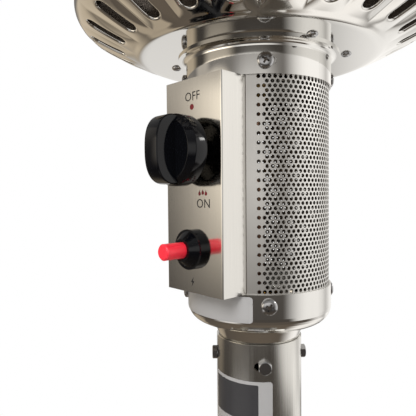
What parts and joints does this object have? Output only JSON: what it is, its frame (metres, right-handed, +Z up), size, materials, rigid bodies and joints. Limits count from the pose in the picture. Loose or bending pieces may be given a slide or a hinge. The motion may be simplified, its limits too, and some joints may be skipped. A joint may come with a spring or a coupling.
{
  "type": "propane patio heater",
  "caption": "Tabletop propane patio heater with a slotted burner dish, perforated head, control box with gas knob and push igniter, pole, tank housing and reflector.",
  "frame": {"origin": "centre of the base on the surface that the heater stands on", "axes": "+Z up along the pole, -Y out of the front of the control box, +X to the right seen from behind the box's front"},
  "size_m": [0.5244, 0.5244, 0.9376],
  "materials": {
    "polished_steel": "mirror polished stainless steel",
    "brushed_steel": "fine vertical brushing",
    "perforated_steel": "perforated sheet, lightly polished",
    "plated_steel": "bright zinc plate",
    "black_plastic": "glossy black",
    "red_plastic": "satin red",
    "brass": "turned brass",
    "copper": "drawn copper",
    "cast_iron": "rough casting",
    "rubber": "matte",
    "cylinder_paint": "satin paint",
    "wire_insulation": "silicone sleeve",
    "ceramic": "white glazed"
  },
  "bodies": {
    "heater": {"base_cover": "polished_steel", "housing_cone": "polished_steel", "lower_cup": "polished_steel", "collar_ring": "polished_steel", "burner_dish": "polished_steel", "emitter_cap": "polished_steel", "reflector": "polished_steel", "tank_housing": "brushed_steel", "pole": "brushed_steel", "control_box": "brushed_steel", "perforated_shroud": "perforated_steel", "emitter_screen": "perforated_steel", "burner_tube": "perforated_steel", "burner_head": "perforated_steel", "burner_plate": "perforated_steel", "housing_screws": "plated_steel", "flange_bolts": "plated_steel", "pole_foot_bolts": "plated_steel", "pole_top_bolts": "plated_steel", "cup_screws": "plated_steel", "collar_screws": "plated_steel", "dish_rivets": "plated_steel", "reflector_bolts": "plated_steel", "stud_spacers": "plated_steel", "wing_nuts": "plated_steel", "pole_socket": "plated_steel", "cylinder_cradle": "plated_steel", "regulator_body": "plated_steel", "igniter_nut": "black_plastic", "igniter_body": "black_plastic", "tilt_switch": "black_plastic", "gas_valve": "brass", "burner_jet": "brass", "gas_pipe": "copper", "burner_feed_pipe": "copper", "thermocouple": "copper", "base_weight": "cast_iron", "rubber_feet": "rubber", "gas_cylinder": "cylinder_paint", "igniter_wire": "wire_insulation", "electrode": "ceramic"},
    "stem_slider": {"stem_clip": "plated_steel"},
    "knob": {"control_knob": "black_plastic", "valve_stem": "brass"},
    "igniter_rod": {"igniter_button": "red_plastic"},
    "handwheel": {"regulator_handwheel": "black_plastic"}
  },
  "joints": [
    {"name": "knob_push", "type": "slide", "parent": "heater", "child": "stem_slider", "axis": [0, 1, 0], "range_m": [0, 0.003], "stiffness_N_per_m": 2000, "springref_m": -0.002},
    {"name": "knob_turn", "type": "hinge", "parent": "stem_slider", "child": "knob", "pos_m": [0, -0.0685, 0.6232], "axis": [0, -1, 0], "range_deg": [0, 198]},
    {"name": "igniter_press", "type": "slide", "parent": "heater", "child": "igniter_rod", "axis": [0, 1, 0], "range_m": [0, 0.008], "stiffness_N_per_m": 1200, "springref_m": -0.002},
    {"name": "handwheel_turn", "type": "hinge", "parent": "heater", "child": "handwheel", "pos_m": [0, 0, 0.24], "axis": [0, 0, 1], "continuous": true}
  ]
}
